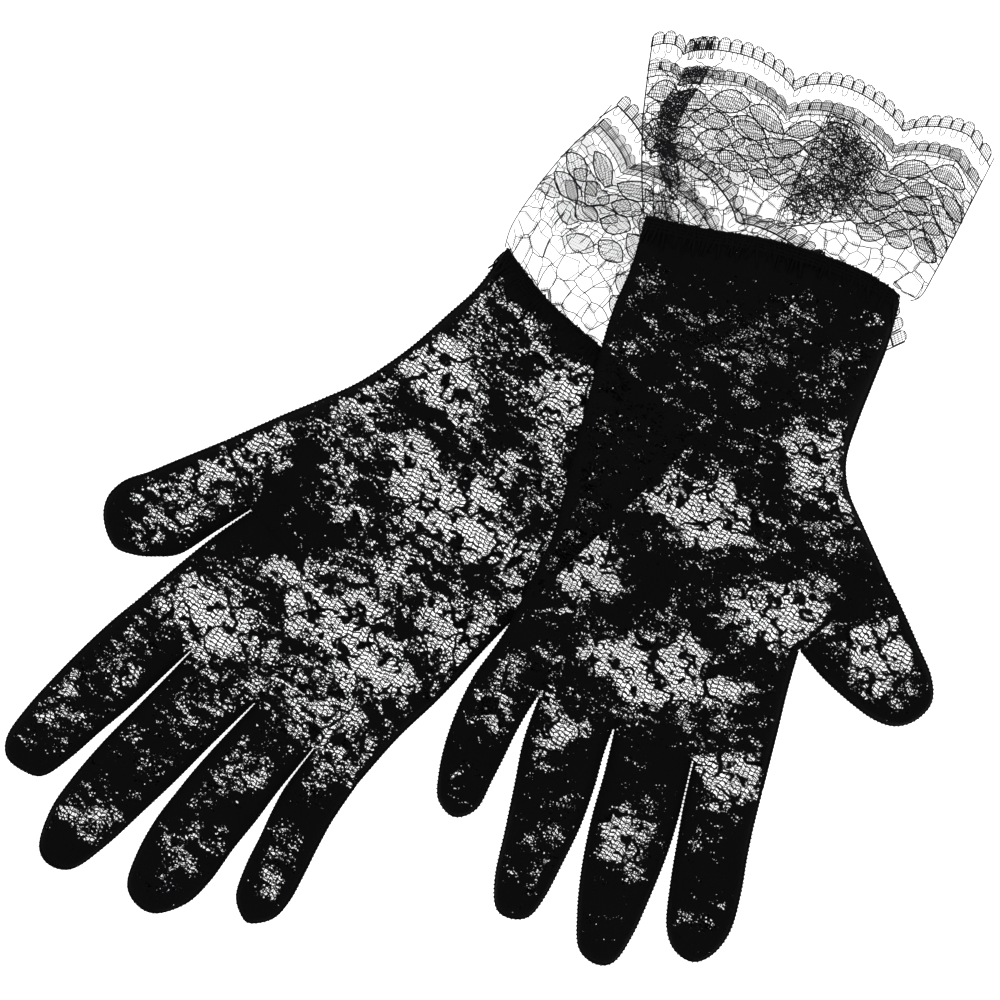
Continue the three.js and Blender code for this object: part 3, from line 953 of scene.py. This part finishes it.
def floral_lace_group():
    """Where floral lace has thread: solid flowers, holes between their threads, and open net."""
    tree = group("floral_lace", (("Cloth", "Vector"), ("Open", "Float"), ("Seed", "Float"), ("Cell", "Float"),
                                 ("Thread share", "Float")), (("Cover", "Float"), ("Relief", "Float")))
    nodes = Nodes(tree)
    given = nodes.add("NodeGroupInput").outputs
    cloth, seed = given["Cloth"], given["Seed"]
    waver = nodes.noise(cloth, seed, 0.13, 2, "Color")
    drift = nodes.scaled(nodes.vector("SUBTRACT", waver, (0.5, 0.5, 0.5)), 5.0)
    place = nodes.vector("ADD", cloth, drift)
    across = nodes.vector("DOT_PRODUCT", place, NET_ACROSS)
    step = nodes.math("MULTIPLY", nodes.math("SINE", nodes.math("MULTIPLY", across, 2.5)), 0.2)
    cell, share = given["Cell"], given["Thread share"]
    net = nodes.math("MAXIMUM",
                     thread_lines(nodes, place, NET_ACROSS, nodes.math("MULTIPLY", cell, 1.25),
                                  nodes.math("MULTIPLY", share, 0.72), 0.0),
                     thread_lines(nodes, place, NET_ALONG, cell,
                                  nodes.math("MULTIPLY", share, 1.15), step))
    strays = nodes.swing(nodes.noise(cloth, seed, 0.1, 2.0), 26.0)
    parts = nodes.noise(cloth, nodes.math("ADD", seed, 21.0), 0.25)
    broken = nodes.math("MULTIPLY", nodes.math("SUBTRACT", parts, 0.44), 9.0, clamped=True)
    creases = nodes.math("MAXIMUM", thread_lines(nodes, place, (0.6, -0.8, 0), 9.0, 0.2, strays),
                         thread_lines(nodes, place, (0.25, 0.97, 0), 11.0, 0.17, strays))
    vein = nodes.math("MULTIPLY", nodes.math("MULTIPLY", creases, broken), 3.0, clamped=True)
    wide = nodes.vector("MULTIPLY", place, (0.6, 1.35, 1.0))
    petals = nodes.add("ShaderNodeTexVoronoi", {"feature": "DISTANCE_TO_EDGE"}, Vector=wide, Scale=0.13)
    petals = petals.outputs[0]
    turned = nodes.add("ShaderNodeVectorRotate", {"rotation_type": "Z_AXIS"}, Vector=place, Angle=1.3)
    slanted = nodes.vector("MULTIPLY", turned.outputs[0], (1.0, 0.42, 1.0))
    body = nodes.sum(
        nodes.math("MULTIPLY", nodes.math("SUBTRACT", 0.63, given["Open"]), 2.6),
        nodes.math("MULTIPLY", nodes.math("SUBTRACT", petals, 0.17), 2.2),
        nodes.swing(nodes.noise(wide, seed, 0.16, 1.5), 2.2),
        nodes.swing(nodes.noise(slanted, nodes.math("ADD", seed, 5.0), 0.5, 1.5), 3.2),
        nodes.swing(nodes.noise(cloth, nodes.math("ADD", seed, 9.0), 1.6, 0.5), 3.4))
    solid = nodes.math("MULTIPLY", body, 7.0, clamped=True)
    cover = nodes.math("MAXIMUM", nodes.math("MAXIMUM", net, solid), vein)
    relief = nodes.math("ADD", nodes.math("MULTIPLY", cover, 0.6), nodes.math("MULTIPLY", net, 0.4))
    nodes.add("NodeGroupOutput", Cover=cover, Relief=relief)
    return tree


def yarn_group():
    """Twisted yarn: a dark colour with lighter fibres, uneven gloss and fine ridges."""
    tree = group("twisted_yarn",
                 (("Place", "Vector"), ("Dark", "Color"), ("Light", "Color"), ("Seed", "Float")),
                 (("Colour", "Color"), ("Roughness", "Float"), ("Ridges", "Float")))
    nodes = Nodes(tree)
    given = nodes.add("NodeGroupInput").outputs
    fibre = nodes.noise(given["Place"], given["Seed"], 2.6, 3.0)
    patchy = nodes.noise(given["Place"], nodes.math("ADD", given["Seed"], 3.0), 0.09, 2.0)
    share = nodes.math("ADD", nodes.math("MULTIPLY", fibre, 0.7), nodes.math("MULTIPLY", patchy, 0.3),
                       clamped=True)
    blend = nodes.add("ShaderNodeMix", {"data_type": "RGBA"})
    nodes.put(blend.inputs[0], share)
    nodes.put(blend.inputs[6], given["Dark"])
    nodes.put(blend.inputs[7], given["Light"])
    rough = nodes.math("ADD", 0.68, nodes.math("MULTIPLY", fibre, 0.3))
    nodes.add("NodeGroupOutput", Colour=blend.outputs[2], Roughness=rough, Ridges=fibre)
    return tree


def cloth_material(name, seed, dark, light, lace=None, ridge=0.35, place_from="UV", sheer=None):
    """Thread of one kind.

    lace gives (cell, thread share, bias) for floral lace, and sheer (cell, thread share) for plain tulle.
    """
    material = bpy.data.materials.new(name)
    material.use_nodes = True
    nodes = Nodes(material.node_tree)
    if place_from == "UV":
        place = nodes.scaled(nodes.add("ShaderNodeUVMap", {"uv_map": "cloth"}).outputs[0], 100.0)
    else:
        place = nodes.scaled(nodes.add("ShaderNodeTexCoord").outputs["Object"], 1000.0)
    yarn = nodes.add("ShaderNodeGroup", {"node_tree": bpy.data.node_groups["twisted_yarn"]},
                     Place=place, Dark=dark, Light=light, Seed=seed).outputs
    height, alpha = yarn["Ridges"], None
    if lace:
        cell, share, bias = lace
        given = nodes.add("ShaderNodeAttribute", {"attribute_name": "open_net"}).outputs["Fac"]
        woven = nodes.add("ShaderNodeGroup", {"node_tree": bpy.data.node_groups["floral_lace"]}, Cloth=place,
                          Open=nodes.math("ADD", given, bias), Seed=seed, Cell=cell,
                          Thread_share=share).outputs
        alpha = woven["Cover"]
        height = nodes.math("ADD", woven["Relief"], nodes.math("MULTIPLY", yarn["Ridges"], 0.4))
    if sheer:
        cell, share = sheer
        alpha = nodes.math("MAXIMUM", thread_lines(nodes, place, (0.8, 0.6, 0), cell, share, 0.0),
                           thread_lines(nodes, place, (-0.6, 0.8, 0), cell, share, 0.0))
    bump = nodes.add("ShaderNodeBump", Strength=ridge, Distance=0.0004, Height=height)
    shader = nodes.add("ShaderNodeBsdfPrincipled", Base_Color=yarn["Colour"], Roughness=yarn["Roughness"],
                       Normal=bump.outputs[0])
    shader.inputs["Sheen Weight"].default_value = 0.006
    shader.inputs["Sheen Roughness"].default_value = 0.5
    shader.inputs["Specular IOR Level"].default_value = 0.03
    if alpha is not None:
        nodes.put(shader.inputs["Alpha"], alpha)
    nodes.add("ShaderNodeOutputMaterial", Surface=shader.outputs[0])
    return material


def build_materials(sizes):
    floral_lace_group()
    yarn_group()
    dark, light = (*sizes.yarn_dark, 1), (*sizes.yarn_light, 1)
    cell, share = sizes.net_cell * 1000, sizes.net_thread / sizes.net_cell
    looks = {}
    for glove, seed in ((RIGHT, 2.0), (LEFT, 31.0)):
        for side, extra, bias in (("palm", 0.0, 0.07), ("back", 13.0, 0.28)):
            name = f"{glove['name']}_{side}_lace"
            finer = 1.0 if side == "palm" else BACK_THREAD
            looks[name] = cloth_material(name, seed + extra, dark, light, lace=(cell, share * finer, bias))
    looks["edge_thread"] = cloth_material("edge_thread", 4.0, dark, light, ridge=0.5, place_from="OBJECT")
    looks["wrist_gather"] = cloth_material("wrist_gather", 6.0, dark, light, ridge=0.6, place_from="OBJECT")
    looks["cuff_thread"] = cloth_material("cuff_thread", 8.0, (0.006, 0.006, 0.007, 1),
                                          (0.024, 0.024, 0.027, 1), place_from="OBJECT")
    looks["cuff_tulle"] = cloth_material("cuff_tulle", 9.0, (0.05, 0.05, 0.055, 1), (0.12, 0.12, 0.13, 1),
                                         sheer=(1.0, 0.035))
    return looks


# ---- sizes a user would change

class GloveSizes(bpy.types.PropertyGroup):
    net_cell: FloatProperty(name="Net cell", description="Width of one cell of the open net", default=0.0012,
                            min=0.0004, unit="LENGTH")
    net_thread: FloatProperty(name="Net thread", description="Thickness of the net's thread", default=0.00040,
                              min=0.0001, unit="LENGTH")
    edge_radius: FloatProperty(name="Edge radius", description="Radius of the overlocked edges",
                               default=0.00055, min=0.0002, unit="LENGTH")
    wrap_pitch: FloatProperty(name="Stitch pitch", description="Length of one overlock stitch",
                              default=0.0012, min=0.0004, unit="LENGTH")
    gathers: IntProperty(name="Gathers", description="Tucks round one side of a wrist", default=90, min=8)
    yarn_dark: FloatVectorProperty(name="Yarn, dark", description="Darkest colour of the yarn",
                                   subtype="COLOR", default=(0.0006, 0.0006, 0.0008), min=0, max=1)
    yarn_light: FloatVectorProperty(name="Yarn, light", description="Lightest colour of the yarn",
                                    subtype="COLOR", default=(0.004, 0.004, 0.0046), min=0, max=1)


def look(name):
    return bpy.data.materials[name]


def face_out(piece, palm):
    """The back layers' outside is their underside."""
    if not palm:
        piece.data.flip_normals()


def finish_piece(piece, material):
    piece.data.materials.append(look(material))


class LACE_OT_materials(bpy.types.Operator):
    """Make the yarn, lace and tulle materials"""
    bl_idname = "lace.materials"
    bl_label = "Materials"

    def execute(self, context):
        build_materials(context.scene.glove_sizes)
        return {"FINISHED"}


class LACE_OT_hands(bpy.types.Operator):
    """Make the palm and back sheets of both hands"""
    bl_idname = "lace.hands"
    bl_label = "Hands"

    def execute(self, context):
        columns, rows = even(0, 1, 56), even(0, 1, 100)
        for glove in GLOVES:
            hand, name = Hand(glove), glove["name"]

            def point(s, t, palm):
                u, v = hand.plan(s, t)
                z = hand.palm_height(u, v, hand.palm_rise(s, t)) if palm else hand.back_height(u, v)
                edge = min(min(s, 1 - s) * 82, max(0.0, v - 2) * 0.4)
                return hand.place(u, v, z), (u, v), openness(glove, u, v) * ease(edge / 3.5)

            for side, palm in (("palm", True), ("back", False)):
                piece = grid_object(f"{name}_{side}_lace_sheet", columns, rows,
                                    lambda s, t, palm=palm: point(s, t, palm))
                face_out(piece, palm)
                finish_piece(piece, f"{name}_{side}_lace")
                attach(piece, f"{name}_hand")
                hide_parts(f"{name}_{side}_panel")
        for side, under in (("palm", "{0}_back_lace_sheet"), ("back", "floor")):
            for glove in GLOVES:
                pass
        return {"FINISHED"}


class LACE_OT_digits(bpy.types.Operator):
    """Make the palm and back sheets of every digit"""
    bl_idname = "lace.digits"
    bl_label = "Digits"

    def execute(self, context):
        columns, rows = even(0, 1, 18), even(0, 1, 48)
        for glove in GLOVES:
            hand, name = Hand(glove), glove["name"]
            for digit in DIGITS:
                plan, width = hand.digit_plan(digit), distance(*hand.chord(digit))
                start, end = hand.fold_line(digit)

                def point(s, t, palm):
                    u, v = plan(s, t)
                    if palm:
                        z = hand.palm_height(u, v, hand.digit_rise(digit, s, t))
                    else:
                        z = hand.back_height(u, v)
                    edge = min(min(s, 1 - s) * width / 2.2, (1 - t) * DIGIT_LENGTH / TIP_SOLID * 3)
                    net = max(ease(edge / 3), ease(1 - 7 * t))
                    return hand.place(u, v, z), (u, v), openness(glove, u, v) * net

                for side, palm in (("palm", True), ("back", False)):
                    piece = grid_object(f"{name}_{digit}_{side}_lace_sheet", columns, rows,
                                        lambda s, t, palm=palm: point(s, t, palm))
                    face_out(piece, palm)
                    finish_piece(piece, f"{name}_{side}_lace")
                    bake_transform(piece)
                    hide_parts(f"{name}_{digit}_{side}_panel")
        return {"FINISHED"}


class LACE_OT_edges(bpy.types.Operator):
    """Make the overlocked edges that join palm and back"""
    bl_idname = "lace.edges"
    bl_label = "Overlocked edges"

    def execute(self, context):
        sizes = context.scene.glove_sizes
        radius, pitch = sizes.edge_radius * 1000, sizes.wrap_pitch * 1000
        for glove in GLOVES:
            hand, name = Hand(glove), glove["name"]
            seams = [("outer_side_seam", glove["outer"], 1, None),
                     ("thumb_side_seam", glove["thumb_side"], -1, None),
                     ("thumb_web_seam", glove["web"], -1, None)]
            seams += [(f"{digit}_edge_seam", glove["digits"][digit], 1, digit) for digit in DIGITS]
            for label, points, side, digit in seams:
                edge = Edge(points, side * (radius + 0.15))
                path = [hand.place(*edge(t), 0.85) for t in even(0, 1, round(edge.length / 0.9))]
                piece = tubes_object(f"{name}_{label}_thread", rope(path, radius, 0.2, pitch), sides=5)
                finish_piece(piece, "edge_thread")
                if digit:
                    start, end = hand.fold_line(digit)
                    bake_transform(piece)
                else:
                    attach(piece, f"{name}_hand")
                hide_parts(f"{name}_{label}")
        return {"FINISHED"}


class LACE_OT_wrists(bpy.types.Operator):
    """Make the gathered seams at the wrists"""
    bl_idname = "lace.wrists"
    bl_label = "Wrist seams"

    def execute(self, context):
        tucks = context.scene.glove_sizes.gathers
        for glove in GLOVES:
            hand, name = Hand(glove), glove["name"]
            for side in ("palm", "back"):
                rng = random.Random(f"{name} {side} wrist")

                def at(s, v, off=0.0):
                    u, w = hand.wrist_row(v)(clamp(s))
                    rise = GAP + (PALM_ROOM - GAP) * round_off(min(s, 1 - s) * 82, EDGE_ROUND)
                    if glove is RIGHT:
                        rise *= 0.85
                    z = 1.5 * CLOTH + rise if side == "palm" else 0.75
                    return hand.place(u, w, z + off)

                paths = []
                for row in (-1.2, -0.2, 0.8, 1.8):
                    line = [at(s, row + rng.uniform(-0.12, 0.12)) for s in even(0.005, 0.995, 150)]
                    paths += [([(*p, 0.55 + rng.uniform(-0.12, 0.12)) for p in line], False)]
                for k in range(tucks):
                    s = (k + rng.uniform(0.1, 0.9)) / tucks
                    low, high, lean = rng.uniform(-2.3, -1.2), rng.uniform(2.2, 7.5), rng.uniform(-0.03, 0.03)
                    size = rng.uniform(0.2, 0.5)
                    gather = []
                    for j in range(7):
                        place = at(s + lean * (j / 6 - 0.4), lerp(low, high, j / 6), 0.25)
                        gather.append((*place, size * (0.35 + 0.65 * math.sin(math.pi * (j + 0.4) / 6.8))))
                    paths.append((gather, False))
                piece = tubes_object(f"{name}_wrist_gather_{side}", paths, sides=6)
                finish_piece(piece, "wrist_gather")
                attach(piece, f"{name}_hand")
                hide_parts(f"{name}_wrist_seam_{side}")
        return {"FINISHED"}


class LACE_OT_cuffs(bpy.types.Operator):
    """Make the ruffle cuffs: a sheer sheet on each side, with its lace work in thread"""
    bl_idname = "lace.cuffs"
    bl_label = "Ruffle cuffs"

    def execute(self, context):
        for glove in GLOVES:
            hand, name = Hand(glove), glove["name"]
            cuff = Cuff(glove, hand)
            middle = mix(glove["wrist"][0], glove["wrist"][-1], 0.5)
            level = lift_at(glove, *middle)
            start, end = ([c * MM for c in (*on_table(glove, middle[0], middle[1] - drop), level)]
                          for drop in (1, 11))
            for side, palm in (("palm", True), ("back", False)):
                def point(s, t):
                    a = s * cuff.length(t)
                    b = (1 - t) * CUFF_DEPTH
                    return cuff.at(a, b, palm), (a, b), 1.0

                lines, length = edging_lace(cuff, f"{name} {side}")
                paths = lace_paths(cuff, lines, length, palm)
                if palm:
                    paths += crumple(cuff, f"{name} folds")
                thread = tubes_object(f"{name}_cuff_{side}_lace_work", paths, sides=3)
                finish_piece(thread, "cuff_thread")
                tulle = grid_object(f"{name}_cuff_{side}_tulle", even(0, 1, 130), even(0, 1, 40), point)
                face_out(tulle, palm)
                finish_piece(tulle, "cuff_tulle")
                for piece in (tulle, thread):
                    if name == "left":
                        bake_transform(piece)
                    else:
                        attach(piece, "right_hand")
                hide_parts(f"{name}_cuff_{side}_side" if palm else f"{name}_cuff_back_side")
        return {"FINISHED"}


class LACE_OT_stage(bpy.types.Operator):
    """Make the pale floor, the soft studio lights and the camera straight above"""
    bl_idname = "lace.stage"
    bl_label = "Stage"

    def execute(self, context):
        scene = context.scene
        bpy.ops.mesh.primitive_plane_add(size=4, location=(0, 0, -0.0002))
        floor = context.object
        floor.name = "floor"
        bpy.ops.object.transform_apply(location=True)
        material = bpy.data.materials.new("pale_floor")
        material.use_nodes = True
        shader = material.node_tree.nodes["Principled BSDF"]
        shader.inputs["Base Color"].default_value = (0.85, 0.85, 0.85, 1)
        shader.inputs["Roughness"].default_value = 0.8
        shader.inputs["Emission Color"].default_value = (1, 1, 1, 1)
        shader.inputs["Emission Strength"].default_value = 0.95
        floor.data.materials.append(material)
        world = bpy.data.worlds.new("soft_room")
        world.use_nodes = True
        world.node_tree.nodes["Background"].inputs[0].default_value = (1, 1, 1, 1)
        world.node_tree.nodes["Background"].inputs[1].default_value = 0.7
        scene.world = world
        for x, y, power in ((-1.1, 1.0, 12), (1.3, 0.4, 8), (0.1, -1.4, 5)):
            bpy.ops.object.light_add(type="AREA", location=(x, y, 1.3))
            lamp = context.object
            lamp.name = "softbox"
            lamp.data.size = 1.1
            lamp.data.energy = power
            lamp.rotation_euler = (-Vector((x, y, 1.3))).to_track_quat("-Z", "Y").to_euler()
        height, view_width = 2.0, 0.29
        above = (PAIR_SHIFT[0] * MM, PAIR_SHIFT[1] * MM, height)
        bpy.ops.object.camera_add(location=above, rotation=(0, 0, 0))
        camera = context.object
        camera.data.sensor_width = 36
        camera.data.lens = 36 * (height - 0.006) / view_width
        camera.data.clip_start = 0.05
        scene.camera = camera
        scene.view_settings.view_transform = "Standard"
        scene.cycles.transparent_max_bounces = 24
        return {"FINISHED"}


OPERATORS = (LACE_OT_materials, LACE_OT_stage, LACE_OT_hands, LACE_OT_digits, LACE_OT_edges, LACE_OT_wrists,
             LACE_OT_cuffs)


class LACE_PT_panel(bpy.types.Panel):
    """Lists the steps that make the gloves"""
    bl_idname = "LACE_PT_panel"
    bl_label = "Lace gloves"
    bl_space_type = "VIEW_3D"
    bl_region_type = "UI"
    bl_category = "Lace gloves"

    def draw(self, context):
        sizes = context.scene.glove_sizes
        for name in GloveSizes.__annotations__:
            self.layout.prop(sizes, name)
        for operator in OPERATORS:
            self.layout.operator(operator.bl_idname)


CLASSES = (GloveSizes, *OPERATORS, LACE_PT_panel)


def register():
    for item in CLASSES:
        bpy.utils.register_class(item)
    bpy.types.Scene.glove_sizes = PointerProperty(type=GloveSizes)


def unregister():
    del bpy.types.Scene.glove_sizes
    for item in reversed(CLASSES):
        bpy.utils.unregister_class(item)


def main():
    register()
    bpy.ops.object.select_all(action="DESELECT")
    for name in ("materials", "stage", "hands", "digits", "edges", "wrists", "cuffs"):
        getattr(bpy.ops.lace, name)()


if __name__ == "__main__":
    main()
